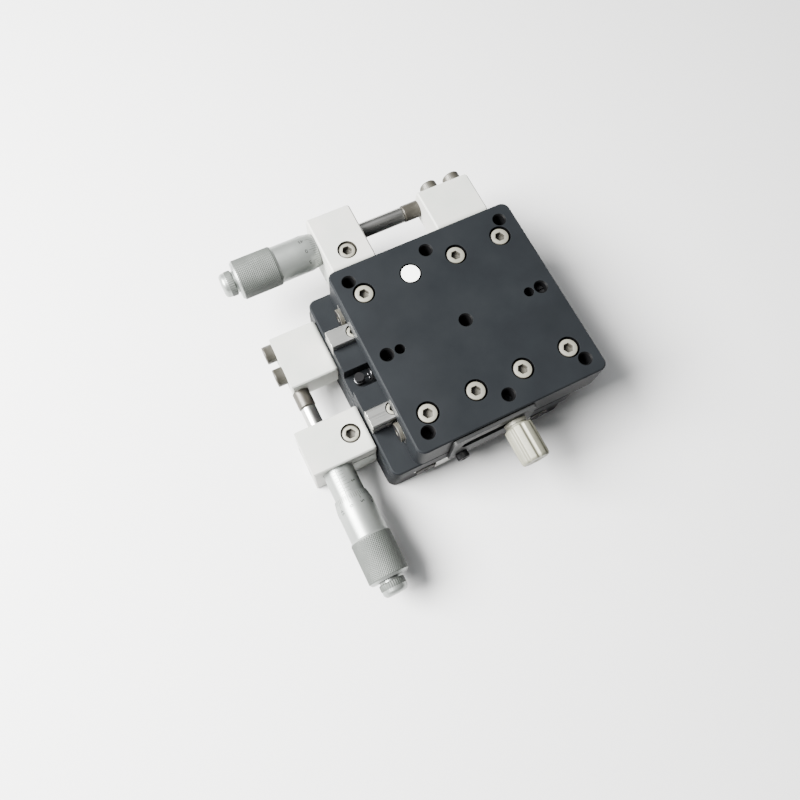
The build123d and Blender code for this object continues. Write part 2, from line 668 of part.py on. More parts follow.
def bracket(drive):
    """The split clamp that holds a micrometer, screwed to the fixed deck's side."""
    rear = -BRACKET_FACE - BRACKET_L
    middle = -BRACKET_FACE - BRACKET_L / 2
    contact = (-BLOCK_DROP - BRACKET_H, -BRACKET_PAD_DROP)
    with BuildPart() as clamp:
        add(block_blank(drive, rear, BRACKET_L, BRACKET_V, BRACKET_H, contact))
        with BuildSketch(facing_u(drive, rear, DRIVE_V, -DRIVE_DROP)):
            Circle(STEM_R + SCREW_SLACK)
        extrude(amount=BRACKET_L, mode=Mode.SUBTRACT)
        with BuildSketch(facing_u(drive, rear)):
            with Locations(((HALF + DRIVE_V) / 2, -DRIVE_DROP)):
                Rectangle(DRIVE_V - HALF, CLAMP_SLIT)
        extrude(amount=BRACKET_L, mode=Mode.SUBTRACT)
        with Locations(facing_w(drive, middle, CLAMP_SCREW_V, -BLOCK_DROP)):
            CounterBoreHole(
                radius=M3[0] + THROUGH_SLACK,
                counter_bore_radius=M3[1] + HEAD_SLACK_TIGHT,
                counter_bore_depth=M3[2] + HEAD_SINK,
                depth=DRIVE_DROP - BLOCK_DROP,
            )
        with BuildSketch(facing_w(drive, middle, CLAMP_SCREW_V, -DRIVE_DROP)):
            Circle(M3[0])
        extrude(amount=-CLAMP_TAP_DEPTH, mode=Mode.SUBTRACT)
        for mouth in bracket_mouths(drive):
            with Locations(mouth.offset(BRACKET_V - HALF)):
                CounterBoreHole(
                    radius=M3[0] + THROUGH_SLACK,
                    counter_bore_radius=M3[1] + HEAD_SLACK_TIGHT,
                    counter_bore_depth=BRACKET_SCREW_SINK,
                    depth=BRACKET_V - HALF,
                )
    return clamp.part


def anvil(drive, drop):
    """The block on the moving deck that the spindle pushes, drilled for its screws and pin."""
    contact = (-BLOCK_DROP - ANVIL_CONTACT_H, -BLOCK_DROP)
    with BuildPart() as block:
        add(block_blank(drive, ANVIL_FACE, ANVIL_L, ANVIL_V, ANVIL_H, contact))
        for mouth in anvil_mouths(drive, drop):
            with Locations(mouth.offset(ANVIL_V - HALF)):
                Hole(radius=M3[0] + THROUGH_SLACK, depth=ANVIL_V - HALF)
        with BuildSketch(facing_u(drive, ANVIL_FACE, DRIVE_V, -DRIVE_DROP)):
            Circle(PIN_SHANK_R + SCREW_SLACK)
        extrude(amount=PIN_SHANK_L, mode=Mode.SUBTRACT)
    return block.part


def contact_pin(drive):
    """The hardened pin in the anvil block, which the spindle's tip touches."""
    return turned(drive, [
        (SPINDLE_TIP, 0),
        (SPINDLE_TIP, PIN_HEAD_R - RAIL_EDGE),
        (SPINDLE_TIP + RAIL_EDGE, PIN_HEAD_R),
        (ANVIL_FACE, PIN_HEAD_R),
        (ANVIL_FACE, PIN_SHANK_R),
        (ANVIL_FACE + PIN_SHANK_L - RAIL_EDGE, PIN_SHANK_R),
        (ANVIL_FACE + PIN_SHANK_L - RAIL_EDGE, 0),
    ])


# ---------------------------------------------------------------- micrometer head
def sleeve(drive):
    """The fixed barrel: stem in the bracket, graduated sleeve, and the nut at its rear end."""
    front = -BRACKET_FACE - STEM_INSET
    rear = -BRACKET_FACE - BRACKET_L
    shoulder = rear - STEM_SHOULDER
    end = rear - SLEEVE_L
    bearing_r = SPINDLE_R + RUN_FIT
    nut_r = FEED_SCREW_R + RUN_FIT
    return turned(drive, [
        (front, bearing_r),
        (front, STEM_R - RAIL_EDGE),
        (front - RAIL_EDGE, STEM_R),
        (shoulder, STEM_R),
        (shoulder, SLEEVE_R),
        (end + RAIL_EDGE, SLEEVE_R),
        (end, SLEEVE_R - RAIL_EDGE),
        (end, nut_r),
        (end + NUT_L, nut_r),
        (end + NUT_L, SLEEVE_BORE_R),
        (front - SLEEVE_BEARING_L, SLEEVE_BORE_R),
        (front - SLEEVE_BEARING_L, bearing_r),
    ])


def spindle(drive):
    """The smooth spindle, which slides without turning."""
    return turned(drive, [
        (SPINDLE_TIP, 0),
        (SPINDLE_TIP, SPINDLE_R - RAIL_EDGE),
        (SPINDLE_TIP - RAIL_EDGE, SPINDLE_R),
        (SPINDLE_END, SPINDLE_R),
        (SPINDLE_END, 0),
    ])


def feed_screw(drive):
    """The screw behind the spindle, with the stud that carries the thimble and the ratchet."""
    return turned(drive, [
        (SPINDLE_END - END_FLOAT, 0),
        (SPINDLE_END - END_FLOAT, FEED_SCREW_R),
        (THIMBLE_WALL, FEED_SCREW_R),
        (THIMBLE_WALL, STUD_R),
        (THIMBLE_END - STUD_REACH, STUD_R),
        (THIMBLE_END - STUD_REACH, 0),
    ])


def thimble(drive):
    """The thimble: bevelled and graduated at its mouth, smooth, then the grip."""
    shoulder = THIMBLE_MOUTH - THIMBLE_SMOOTH_L
    bore_r = SLEEVE_R + THIMBLE_FIT
    return turned(drive, [
        (THIMBLE_MOUTH, bore_r),
        (THIMBLE_MOUTH, THIMBLE_MOUTH_R),
        (THIMBLE_MOUTH - THIMBLE_BEVEL_L, THIMBLE_R),
        (shoulder, THIMBLE_R),
        (shoulder - GRIP_EDGE, GRIP_R),
        (THIMBLE_END + GRIP_EDGE, GRIP_R),
        (THIMBLE_END, GRIP_R - GRIP_EDGE),
        (THIMBLE_END, STUD_R + SCREW_SLACK),
        (THIMBLE_WALL, STUD_R + SCREW_SLACK),
        (THIMBLE_WALL, bore_r),
    ])


def ratchet(drive):
    """The ratchet cap on the stud behind the thimble."""
    front = THIMBLE_END - END_FLOAT
    end = THIMBLE_END - RATCHET_L
    bore_r = STUD_R + RUN_FIT
    pocket = THIMBLE_END - STUD_REACH - END_FLOAT
    return turned(drive, [
        (front, bore_r),
        (front, RATCHET_NECK_R),
        (THIMBLE_END - RATCHET_NECK_L, RATCHET_NECK_R),
        (THIMBLE_END - RATCHET_NECK_L, RATCHET_R),
        (end + RATCHET_EDGE, RATCHET_R),
        (end, RATCHET_R - RATCHET_EDGE),
        (end, 0),
        (pocket, 0),
        (pocket, bore_r),
    ])


def side_screws(mouths, out):
    """Cap screws that hold a block, with their heads seated this far from the stage's middle."""
    return cap_screws([m.offset(out - HALF) for m in mouths], M3, out - HALF + SIDE_GRIP, HEX_M3)


for axis, fixed, moving, drop in (
    ("x", x_fixed, x_moving, X_ANVIL_SCREW_DROP),
    ("y", y_fixed, y_moving, Y_ANVIL_SCREW_DROP),
):
    clamp_seat = facing_w(
        fixed, -BRACKET_FACE - BRACKET_L / 2, CLAMP_SCREW_V, -BLOCK_DROP - HEAD_SINK - M3[2]
    )
    keep(bracket(fixed), f"{axis}_bracket")
    keep(side_screws(bracket_mouths(fixed), BRACKET_V - BRACKET_SCREW_SINK), f"{axis}_bracket_screws")
    keep(cap_screws([clamp_seat], M3, CLAMP_SCREW_L, HEX_M3), f"{axis}_clamp_screw")
    keep(sleeve(fixed), f"{axis}_sleeve")
    keep(spindle(moving), f"{axis}_spindle")
    keep(feed_screw(moving), f"{axis}_feed_screw")
    keep(thimble(moving), f"{axis}_thimble")
    keep(ratchet(moving), f"{axis}_ratchet")
    keep(anvil(moving, drop), f"{axis}_anvil_block")
    keep(side_screws(anvil_mouths(moving, drop), ANVIL_V), f"{axis}_anvil_screws")
    keep(contact_pin(moving), f"{axis}_contact_pin")


# ---------------------------------------------------------------- return springs
def ridge_post(way, u):
    """The spring post pressed into the slide's channel."""
    foot = PLATE_W - CHANNEL_DEPTH
    with BuildPart() as post:
        with BuildSketch(facing_w(way, u, 0, foot - POST_PRESS)):
            Circle(POST_R)
        extrude(amount=POST_PRESS + SPRING_RISE + POST_REACH - foot)
        with BuildSketch(facing_w(way, u, 0, SPRING_RISE + POST_REACH)):
            Circle(POST_HEAD_R)
        extrude(amount=POST_HEAD_T)
    return post.part


def shell_post(way, u):
    """The threaded anchor in the base or the table, with its post reaching in to the spring."""
    with BuildPart() as post:
        with BuildSketch(facing_w(way, u, 0, CEILING_W)):
            Circle(M4_TAPPED_R - SCREW_SLACK)
        extrude(amount=POST_SHANK_L)
        with BuildSketch(facing_w(way, u, 0, SPRING_RISE - POST_REACH)):
            Circle(POST_R)
        extrude(amount=CEILING_W - SPRING_RISE + POST_REACH)
        with BuildSketch(facing_w(way, u, 0, SPRING_RISE - POST_REACH)):
            Circle(POST_HEAD_R)
        extrude(amount=-POST_HEAD_T)
        with BuildSketch(facing_w(way, u, 0, CEILING_W + POST_SHANK_L)):
            Rectangle(2 * M4_TAPPED_R, POST_SLOT)
        extrude(amount=-POST_SLOT, mode=Mode.SUBTRACT)
    return post.part


def extension_spring(way, first_u, last_u):
    """The coiled body as a closed tube, with a hook round the post at each end."""
    low = min(first_u, last_u)
    high = max(first_u, last_u)
    body_low = low + HOOK_R + HOOK_NECK
    body_high = high - HOOK_R - HOOK_NECK
    with BuildPart() as spring:
        with BuildSketch(facing_u(way, body_low, 0, SPRING_RISE)):
            Circle(SPRING_R)
        extrude(amount=body_high - body_low)
        with BuildSketch(facing_u(way, body_low + SPRING_WIRE, 0, SPRING_RISE)):
            Circle(SPRING_R - SPRING_WIRE)
        extrude(amount=body_high - body_low - 2 * SPRING_WIRE, mode=Mode.SUBTRACT)
        for u, neck_start in ((low, low + HOOK_R), (high, body_high)):
            with BuildSketch(facing_u(way, u, HOOK_R, SPRING_RISE)):
                Circle(SPRING_WIRE / 2)
            revolve(axis=Axis(way.from_local_coords(Vector(u, 0, 0)), way.z_dir))
            with BuildSketch(facing_u(way, neck_start, 0, SPRING_RISE)):
                Circle(SPRING_WIRE / 2)
            extrude(amount=HOOK_NECK)
    return spring.part


x_spring_far = X_OFFSET + SHELL_POST_U
y_spring_far = -SHELL_POST_U - Y_OFFSET
keep(ridge_post(x_slide_way, -RIDGE_POST_U), "x_spring_post")
keep(ridge_post(y_slide_way, RIDGE_POST_U), "y_spring_post")
keep(shell_post(x_table_way, SHELL_POST_U), "x_spring_anchor")
keep(shell_post(y_base_way, -SHELL_POST_U), "y_spring_anchor")
keep(extension_spring(x_slide_way, -RIDGE_POST_U, x_spring_far), "x_return_spring")
keep(extension_spring(y_slide_way, RIDGE_POST_U, y_spring_far), "y_return_spring")


# ---------------------------------------------------------------- lock
plate_face = LOCK_PAD_T + LOCK_PLATE_T
washer_face = plate_face + LOCK_SLACK + LOCK_WASHER_T

with BuildPart() as lock_plate:
    with BuildSketch(lock_on_slide.offset(LOCK_PAD_T)):
        with Locations((0, LOCK_DROP - LOCK_PLATE_DROP - LOCK_PLATE_H / 2)):
            RectangleRounded(LOCK_PLATE_L, LOCK_PLATE_H, LOCK_PLATE_R)
        SlotOverall(LOCK_SLOT_L, LOCK_SLOT_W, mode=Mode.SUBTRACT)
        with Locations((-LOCK_PLATE_SCREWS / 2, LOCK_FOOT_Y), (LOCK_PLATE_SCREWS / 2, LOCK_FOOT_Y)):
            Circle(M2[0] + THROUGH_SLACK, mode=Mode.SUBTRACT)
    extrude(amount=LOCK_PLATE_T)
keep(lock_plate.part, "lock_plate")

plate_screw_seats = [m.offset(LOCK_PLATE_T) for m in lock_plate_mouths()]
keep(cap_screws(plate_screw_seats, M2, LOCK_PLATE_T + LOCK_PLATE_SCREW_L - M2[0], HEX_M2), "lock_plate_screws")

with BuildPart() as lock_screw:
    with BuildSketch(lock_on_table.offset(-LOCK_SCREW_DEPTH)):
        Circle(LOCK_SCREW_R)
    extrude(amount=LOCK_SCREW_DEPTH + washer_face + LOCK_SCREW_IN_KNOB)
keep(lock_screw.part, "lock_screw")

with BuildPart() as lock_washer:
    with BuildSketch(lock_on_table.offset(plate_face + LOCK_SLACK)):
        Circle(LOCK_WASHER_R)
        Circle(LOCK_SCREW_R + RUN_FIT, mode=Mode.SUBTRACT)
    extrude(amount=LOCK_WASHER_T)
keep(lock_washer.part, "lock_washer")

with BuildPart() as lock_knob:
    with BuildSketch(lock_on_table.offset(washer_face)):
        Circle(KNOB_NECK_R)
    extrude(amount=KNOB_NECK_L)
    with BuildSketch(lock_on_table.offset(washer_face + KNOB_NECK_L)):
        Circle(KNOB_R)
    extrude(amount=KNOB_L)
    knob_end = lock_knob.faces().sort_by(Axis.Y)[0]
    chamfer(knob_end.edges(), length=KNOB_EDGE)
    with BuildSketch(lock_on_table.offset(washer_face + KNOB_NECK_L)):
        with PolarLocations(KNOB_R + KNOB_FLUTE_R - KNOB_FLUTE_DEPTH, KNOB_FLUTES):
            Circle(KNOB_FLUTE_R)
    extrude(amount=KNOB_L, mode=Mode.SUBTRACT)
    with BuildSketch(lock_on_table.offset(washer_face)):
        Circle(LOCK_SCREW_R + SCREW_SLACK)
    extrude(amount=LOCK_SCREW_IN_KNOB, mode=Mode.SUBTRACT)
keep(lock_knob.part, "lock_knob")
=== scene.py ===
import math

import bpy
import numpy as np
from mathutils import Matrix, Vector


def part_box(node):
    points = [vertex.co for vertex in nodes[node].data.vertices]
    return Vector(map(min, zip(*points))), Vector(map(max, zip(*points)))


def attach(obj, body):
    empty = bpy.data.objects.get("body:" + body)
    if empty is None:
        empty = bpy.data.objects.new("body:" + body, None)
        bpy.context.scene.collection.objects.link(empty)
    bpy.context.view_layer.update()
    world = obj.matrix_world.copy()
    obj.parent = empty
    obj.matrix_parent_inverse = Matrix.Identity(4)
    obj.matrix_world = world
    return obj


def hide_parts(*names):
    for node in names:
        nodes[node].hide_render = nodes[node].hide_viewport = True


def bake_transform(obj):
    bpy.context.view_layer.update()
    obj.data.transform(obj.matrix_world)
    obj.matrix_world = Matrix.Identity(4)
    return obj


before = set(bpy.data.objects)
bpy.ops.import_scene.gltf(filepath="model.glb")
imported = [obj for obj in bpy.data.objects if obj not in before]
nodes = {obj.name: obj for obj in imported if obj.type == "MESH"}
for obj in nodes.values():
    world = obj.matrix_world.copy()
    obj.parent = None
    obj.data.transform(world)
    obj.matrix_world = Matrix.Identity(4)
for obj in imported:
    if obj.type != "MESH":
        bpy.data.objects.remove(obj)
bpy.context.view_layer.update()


# The decks are the base, the middle slide and the table, with the lock plate on the front. They
# are milled aluminium, blasted and hard anodised black with broken edges: a fine matt grain, and
# a painted highlight that makes the edges a little lighter.
CLOUD_SCALE = 90.0          # the slow mottling of a colour, in waves a metre
EDGE_REACH = 0.12           # how far the rounded normal leans where an edge gets its painted highlight


def finish_nodes(name):
    """A new node material; returns it, its node tree and a function that adds a node."""
    material = bpy.data.materials.new(name)
    material.use_nodes = True
    tree = material.node_tree
    tree.nodes.clear()

    def add(kind, **values):
        node = tree.nodes.new(kind)
        for key, value in values.items():
            if key in node.inputs:
                node.inputs[key].default_value = value
            else:
                setattr(node, key, value)
        return node

    return material, tree, add


def mottled(tree, add, place, scale, low, high, detail=4.0):
    """A noise over the place given, stretched between two values."""
    noise = add("ShaderNodeTexNoise", Scale=scale, Detail=detail)
    spread = add("ShaderNodeMapRange", data_type="FLOAT")
    spread.inputs["From Min"].default_value = 0.3
    spread.inputs["From Max"].default_value = 0.7
    spread.inputs["To Min"].default_value = low
    spread.inputs["To Max"].default_value = high
    tree.links.new(place, noise.inputs["Vector"])
    tree.links.new(noise.outputs["Fac"], spread.inputs["Value"])
    return noise.outputs["Fac"], spread.outputs["Result"]


def rubbed_edge(tree, add, radius, reach):
    """Where the painted edge highlight goes: how far the rounded normal leans from the flat one, 0 on
    faces, rising to 1 on edges.
    """
    bevel = add("ShaderNodeBevel", Radius=radius, samples=4)
    geometry = add("ShaderNodeNewGeometry")
    lean = add("ShaderNodeVectorMath", operation="DOT_PRODUCT")
    tree.links.new(bevel.outputs["Normal"], lean.inputs[0])
    tree.links.new(geometry.outputs["Normal"], lean.inputs[1])
    edge = add("ShaderNodeMapRange")
    edge.inputs["From Min"].default_value = 1.0
    edge.inputs["From Max"].default_value = 1.0 - reach
    tree.links.new(lean.outputs["Value"], edge.inputs["Value"])
    return bevel.outputs["Normal"], edge.outputs["Result"]


def machined(name, dark, light, edge, metallic, roughness, grain, depth, radius=0.00015,
             stretch=(1, 1, 1), specular=0.5):
    """A machined and finished surface: mottled colour and roughness, fine grain, painted edge highlights.

    The colour runs from dark to light by a slow noise, and to the lighter edge colour, a painted
    highlight, along edges of the given radius. The grain is a fine noise of the given scale, stretch and
    depth.
    """
    material, tree, add = finish_nodes(name)
    link = tree.links.new
    shader = add("ShaderNodeBsdfPrincipled", Metallic=metallic)
    shader.inputs["Specular IOR Level"].default_value = specular
    out = add("ShaderNodeOutputMaterial")
    link(shader.outputs[0], out.inputs[0])
    where = add("ShaderNodeTexCoord").outputs["Object"]
    turn = add("ShaderNodeMapping", Scale=stretch)
    link(where, turn.inputs["Vector"])
    _, cloud = mottled(tree, add, where, CLOUD_SCALE, 0.0, 1.0)
    fine, rough = mottled(tree, add, turn.outputs[0], grain, roughness[0], roughness[1], detail=3.0)
    colour = add("ShaderNodeMix", data_type="RGBA")
    colour.inputs[6].default_value = (*dark, 1)
    colour.inputs[7].default_value = (*light, 1)
    link(cloud, colour.inputs[0])
    # Painted highlight: the colour turns to the lighter edge colour along the edges.
    normal, edge_highlight = rubbed_edge(tree, add, radius, EDGE_REACH)
    shine = add("ShaderNodeMix", data_type="RGBA")
    shine.inputs[7].default_value = (*edge, 1)
    link(edge_highlight, shine.inputs[0])
    link(colour.outputs[2], shine.inputs[6])
    link(shine.outputs[2], shader.inputs["Base Color"])
    link(rough, shader.inputs["Roughness"])
    bump = add("ShaderNodeBump", Strength=0.5, Distance=depth)
    link(fine, bump.inputs["Height"])
    link(normal, bump.inputs["Normal"])
    link(bump.outputs[0], shader.inputs["Normal"])
    return material


def dress(material, *names):
    """Gives CAD nodes a finish."""
    for name in names:
        mesh = nodes[name].data
        mesh.materials.clear()
        mesh.materials.append(material)


black_anodised = machined(
    "black_anodised", dark=(0.0060, 0.0070, 0.0082), light=(0.0082, 0.0094, 0.0107),
    edge=(0.016, 0.0175, 0.019), metallic=0.0, roughness=(0.46, 0.58), grain=5200.0, depth=0.00002,
    specular=0.09)
satin_black = machined(
    "satin_black", dark=(0.016, 0.0165, 0.0165), light=(0.022, 0.0225, 0.0225), edge=(0.045, 0.045, 0.044),
    metallic=0.0, roughness=(0.40, 0.52), grain=5200.0, depth=0.00001, specular=0.10)
dress(black_anodised, "base", "middle_slide", "table")
dress(satin_black, "lock_plate")


# The four drive blocks, two split clamps and two anvil blocks, are milled aluminium, blasted
# and clear anodised to a pale silver that scatters light almost like white paint.
clear_anodised = machined(
    "clear_anodised", dark=(0.36, 0.378, 0.35), light=(0.43, 0.418, 0.395), edge=(0.50, 0.50, 0.48),
    metallic=0.1, roughness=(0.48, 0.58), grain=4200.0, depth=0.000015, specular=0.2)
dress(clear_anodised, "x_bracket", "y_bracket", "x_anvil_block", "y_anvil_block")


# The rails and rollers are hardened bearing steel, ground along their length, so the grain is
# drawn out into fine lines; the spindles and their screws are ground the same way.
ground_along_x = machined(
    "steel_ground_along_x", dark=(0.44, 0.44, 0.42), light=(0.54, 0.54, 0.52), edge=(0.66, 0.66, 0.64),
    metallic=1.0, roughness=(0.26, 0.34), grain=2600.0, depth=0.000002, stretch=(0.03, 1, 1), radius=0.0001)
ground_along_y = machined(
    "steel_ground_along_y", dark=(0.44, 0.44, 0.42), light=(0.54, 0.54, 0.52), edge=(0.66, 0.66, 0.64),
    metallic=1.0, roughness=(0.26, 0.34), grain=2600.0, depth=0.000002, stretch=(1, 0.03, 1), radius=0.0001)
dress(ground_along_x, "upper_rail_front", "upper_rail_back", "table_rail_front", "table_rail_back",
      "x_rollers", "x_spindle", "x_feed_screw")
dress(ground_along_y, "lower_rail_left", "lower_rail_right", "base_rail_left", "base_rail_right",
      "y_rollers", "y_spindle", "y_feed_screw")


# The roller cages are punched from thin brass sheet, a window for each roller. They are held by
# nothing but the rollers between the grooves.
cage_brass = machined(
    "cage_brass", dark=(0.55, 0.40, 0.16), light=(0.66, 0.50, 0.22), edge=(0.75, 0.60, 0.30),
    metallic=1.0, roughness=(0.28, 0.42), grain=3000.0, depth=0.00001, radius=0.00006)
dress(cage_brass, "x_cage_front", "x_cage_back", "y_cage_left", "y_cage_right")


# The cap screws are cold-headed steel with a dull nickel plating, or oxide black: a knurled
# head with a chamfered rim, a hexagon socket with a broached floor, and a plain shank that is
# screwed into the piece below.
MM = 0.001
M2_SCREW = (0.98, 1.9, 2.0)             # radii of shank and head, and height of head
M3_SCREW = (1.48, 2.75, 3.0)
STOP_SCREW = (0.98, 2.9, 1.2)
HEX_M2, HEX_M3 = 0.75, 1.25             # half the socket's width across flats
FACET = 35                              # edges sharper than this many degrees stay sharp
UP, DOWN, FRONT, BACK, LEFT, RIGHT = (0, 0, 1), (0, 0, -1), (0, -1, 0), (0, 1, 0), (-1, 0, 0), (1, 0, 0)
TABLE_AT = (7, -1)                      # the middle of the table, and of the middle slide, at rest
SLIDE_AT = (0, -1)
RAIL_SPOTS = np.array([-22.5, -7.5, 7.5, 22.5])
OUTER_ROWS, INNER_ROWS, STOP_ROWS = (-20, 20), (-13, 13), (-19.4, 19.4)    # off a deck's middle
X_CLAMP, Y_CLAMP = (-13.6, 34.4, 25.6), (-35.4, -13.6, 13.6)      # seats of the clamps' own screws
BRACKET_PAIR = (-17.6, -9.6)            # the two screws that hold a clamp to its deck


def surface(rows, loop=False):
    """A closed skin over a grid of points, rows by columns, wrapped round its columns.

    Without loop the first and last rows shrink to single pole points with a fan of triangles;
    with loop the last row joins the first. The faces are turned outwards by the sign of the
    volume. Returns the points and the faces.
    """
    count, columns = rows.shape[:2]
    if loop:
        points = rows.reshape(-1, 3)
        index = np.arange(count * columns).reshape(count, columns)
        low, high = index, np.roll(index, -1, 0)
        fans = np.zeros((0, 3), int)
    else:
        points = np.vstack([rows[0, :1], rows[1:-1].reshape(-1, 3), rows[-1, :1]])
        index = 1 + np.arange((count - 2) * columns).reshape(count - 2, columns)
        low, high = index[:-1], index[1:]
        last = np.full(columns, len(points) - 1)
        start = np.stack([np.zeros(columns, int), np.roll(index[0], -1), index[0]], 1)
        end = np.stack([last, index[-1], np.roll(index[-1], -1)], 1)
        fans = np.vstack([start, end])
    quads = np.stack([low, np.roll(low, -1, 1), np.roll(high, -1, 1), high], -1).reshape(-1, 4)
    volume = 0.0
    for faces in (quads, fans):
        corners = points[faces] - points.mean(0)
        area = np.cross(corners, np.roll(corners, -1, 1)).sum(1)
        volume += (corners.mean(1) * area).sum()
    if volume < 0:
        quads, fans = quads[:, ::-1], fans[:, ::-1]
    return points, quads.tolist() + fans.tolist()


def piece(name, skins, materials, body, stands_for=(), sharp=FACET):
    """One object from several closed skins given in millimetres, riding on a body if it has one.

    A skin is its points and faces, and may add which of the materials each face has.
    """
    points, faces, finish, base = [], [], [], 0
    for skin in skins:
        points.append(skin[0])
        faces += [[i + base for i in face] for face in skin[1]]
        finish.append(skin[2] if len(skin) > 2 else np.zeros(len(skin[1]), int))
        base += len(skin[0])
    mesh = bpy.data.meshes.new(name)
    mesh.from_pydata((np.vstack(points) * MM).tolist(), [], faces)
    for material in materials:
        mesh.materials.append(material)
    mesh.polygons.foreach_set("material_index", np.concatenate(finish))
    mesh.shade_smooth()
    mesh.set_sharp_from_angle(angle=math.radians(sharp))
    made = bpy.data.objects.new(name, mesh)
    bpy.context.scene.collection.objects.link(made)
    if stands_for:
        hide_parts(*stands_for)
    if body:
        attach(made, body)
    return made


def across(along):
    """Two directions square to an axis and to each other."""
    along = np.array(along, float)
    side = np.cross(along, (0, 0, 1)) if abs(along[2]) < 0.9 else np.array((1.0, 0, 0))
    return side, np.cross(along, side)


def rings(centre, along, heights, radii):
    """Rings about an axis: each height gives a row, with a radius for every column."""
    columns = radii.shape[1]
    angle = np.linspace(0, 2 * math.pi, columns, endpoint=False)
    first, second = across(along)
    out = np.cos(angle)[:, None] * first + np.sin(angle)[:, None] * second
    middle = np.array(centre, float) + heights[:, None, None] * np.array(along, float)
    return middle + radii[..., None] * out


def cap_screw(seat, along, size, length, socket, rim=0.18, columns=72):
    """A screw as rings: round shank, head knurled by a cosine of the angle, hexagon socket.

    The hexagon's radius at an angle is its flat's distance over the cosine of the angle from
    the middle of the nearest flat. The head's side and rim and the socket take the second material: on
    nickel screws a darker grey, a painted shade.
    """
    shank, head, tall = size
    angle = np.linspace(0, 2 * math.pi, columns, endpoint=False)
    flat = np.ones(columns)
    hexagon = socket / np.cos(angle % (math.pi / 3) - math.pi / 6)
    knurl = head - 0.035 * (1 - np.cos(columns / 2 * angle))
    profile = [
        (-length, 0 * flat), (-length, (shank - 0.25) * flat), (-length + 0.25, shank * flat),
        (0, shank * flat), (0, (head - 0.15) * flat), (0.15, knurl), (tall * 0.8, knurl),
        (tall * 0.82, head * flat), (tall - rim, head * flat),
        (tall - 0.3 * rim, (head - 0.4 * rim) * flat), (tall, (head - rim) * flat),
        (tall, hexagon + 0.14), (tall - 0.14, hexagon), (tall * 0.45, hexagon),
        (tall * 0.45 - 0.25, 0 * flat),
    ]
    heights = np.array([row[0] for row in profile], float)
    points, faces = surface(rings(seat, along, heights, np.array([row[1] for row in profile])))
    # The second material on the head's side, rim and socket: painted shade where it is darker, a painted
    # glint where it is lighter.
    finish = np.zeros(len(faces), int)
    bands = len(profile) - 3
    finish[3 * columns:(bands - 3) * columns] = 1
    finish[(bands - 2) * columns:bands * columns] = 1
    finish[(bands + 1) * columns:] = 1
    return points, faces, finish


screw_nickel = machined(
    "screw_nickel", dark=(0.175, 0.170, 0.138), light=(0.235, 0.229, 0.190), edge=(0.34, 0.33, 0.285),
    metallic=0.35, roughness=(0.40, 0.52), grain=3000.0, depth=0.00001, radius=0.00005)
# A dark grey: on the nickel screws' head sides and sockets and on the counterbore walls it is painted
# shade; on the stop screws' rims it is a painted glint; the anvil screws are this grey all over.
socket_grey = machined(
    "socket_grey", dark=(0.036, 0.034, 0.027), light=(0.058, 0.054, 0.044), edge=(0.085, 0.080, 0.068),
    metallic=0.25, roughness=(0.38, 0.52), grain=3000.0, depth=0.00001, radius=0.00004)
oxide_black = machined(
    "oxide_black", dark=(0.006, 0.006, 0.0065), light=(0.010, 0.010, 0.0105), edge=(0.022, 0.022, 0.022),
    metallic=0.0, roughness=(0.36, 0.48), grain=3000.0, depth=0.00001, radius=0.00005, specular=0.06)


# Pairs of body colour and second colour: on the nickel screws the darker grey is painted shade, on the
# oxide stop screws the lighter grey rim is a painted glint.
NICKEL, STEEL = (screw_nickel, socket_grey), (socket_grey, socket_grey)
OXIDE, OXIDE_WITH_GLINT = (oxide_black, oxide_black), (oxide_black, socket_grey)


def screws(name, body, seats, along, size, length, socket, finish=NICKEL, rim=0.18):
    """A group of like screws, all along one direction or one each, in place of its CAD node."""
    if len(along) == 1:
        along = along * len(seats)
    skins = [cap_screw(seat, way, size, length, socket, rim) for seat, way in zip(seats, along)]
    return piece(name + "_turned", skins, finish, body, (name,))


def in_rows(spots, rows, middle, height, across_x=True):
    """Places on a grid about a middle: the spots run along X, or along Y if not across_x."""
    x, y = middle
    if across_x:
        return [(x + u, y + v, height) for u in spots for v in rows]
    return [(x + v, y + u, height) for u in spots for v in rows]


screws("table_rail_screws", "table", in_rows(RAIL_SPOTS, OUTER_ROWS, TABLE_AT, 26.6), [UP],
       M3_SCREW, 8.0, HEX_M3)
screws("base_rail_screws", "base", in_rows(RAIL_SPOTS, OUTER_ROWS, (0, 0), 3.4, False), [DOWN],
       M3_SCREW, 8.0, HEX_M3)
screws("upper_rail_screws", "middle", in_rows(RAIL_SPOTS, INNER_ROWS, SLIDE_AT, 22.0), [UP],
       M2_SCREW, 6.0, HEX_M2)
screws("lower_rail_screws", "middle", in_rows(RAIL_SPOTS, INNER_ROWS, SLIDE_AT, 8.0, False), [DOWN],
       M2_SCREW, 6.0, HEX_M2)
screws("x_bracket_screws", "middle", [(x, 45.9, 15.4) for x in BRACKET_PAIR], [BACK],
       M3_SCREW, 22.9, HEX_M3)
screws("y_bracket_screws", "base", [(-46.9, y, 3.4) for y in BRACKET_PAIR], [LEFT],
       M3_SCREW, 22.9, HEX_M3)
screws("x_clamp_screw", "middle", [X_CLAMP], [UP], M3_SCREW, 9.0, HEX_M3, rim=0.5)
screws("y_clamp_screw", "base", [Y_CLAMP], [UP], M3_SCREW, 9.0, HEX_M3, rim=0.5)
screws("x_anvil_screws", "table", [(x, 44.0, 24.5) for x in (20.0, 28.0)], [BACK],
       M3_SCREW, 21.0, HEX_M3, STEEL)
screws("y_anvil_screws", "middle", [(-45.0, y, 14.0) for y in (12.0, 20.0)], [LEFT],
       M3_SCREW, 21.0, HEX_M3, STEEL)
screws("lock_plate_screws", "middle", [(x, -32.2, 15.0) for x in (-9.0, 9.0)], [FRONT],
       M2_SCREW, 5.0, HEX_M2, OXIDE)
